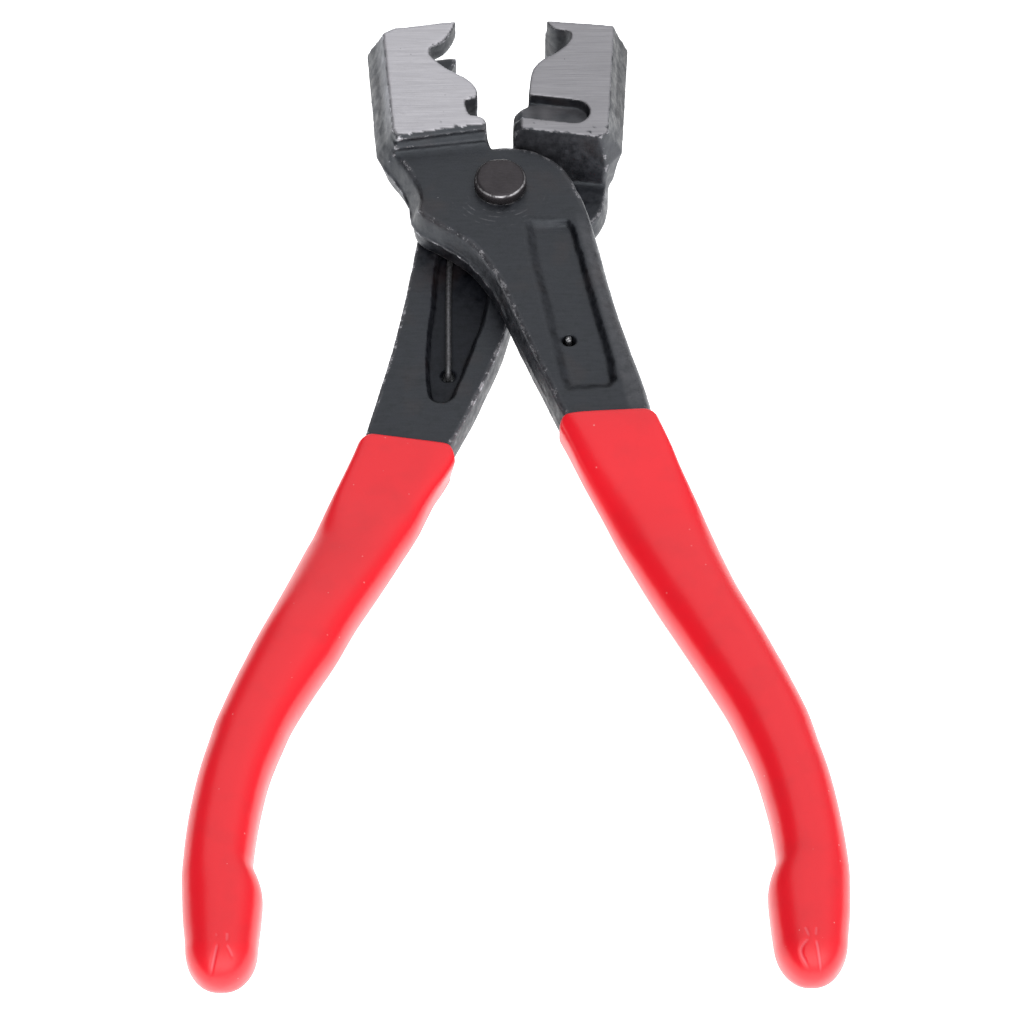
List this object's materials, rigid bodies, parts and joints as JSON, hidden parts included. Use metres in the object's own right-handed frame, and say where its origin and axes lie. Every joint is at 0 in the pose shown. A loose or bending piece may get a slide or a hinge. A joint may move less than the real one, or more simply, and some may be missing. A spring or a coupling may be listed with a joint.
{
  "type": "hose clamp pliers",
  "caption": "Long-handled hose clamp pliers: two forged jaws crossing on one pivot pin, opened by a torsion spring, with dipped vinyl sleeves on the handles.",
  "frame": {"origin": "centre of the pin's riveted end face, on the pivot axis, which is the lowest point of the pliers as they lie", "axes": "+Z along the pivot pin towards the ground jaw faces, +Y from the pivot towards the jaw tips, +X towards the right handle"},
  "size_m": [0.1004, 0.1835, 0.0205],
  "materials": {
    "black_steel": "satin black oxide over forged steel, ground bright on the jaw faces",
    "red_vinyl": "glossy dipped vinyl",
    "pin_steel": "dark steel, worn bright on the head's edge",
    "spring_steel": "drawn spring wire"
  },
  "bodies": {
    "lower": {"lower_half": "black_steel", "left_grip": "red_vinyl", "pivot_pin": "pin_steel", "return_spring": "spring_steel"},
    "upper": {"upper_half": "black_steel", "right_grip": "red_vinyl"}
  },
  "joints": [
    {"name": "pivot", "type": "hinge", "parent": "lower", "child": "upper", "pos_m": [0, 0, 0.0095], "axis": [0, 0, 1], "range_deg": [-22, 1.5], "stiffness_Nm_per_rad": 0.6, "deforming": ["return_spring"]}
  ]
}
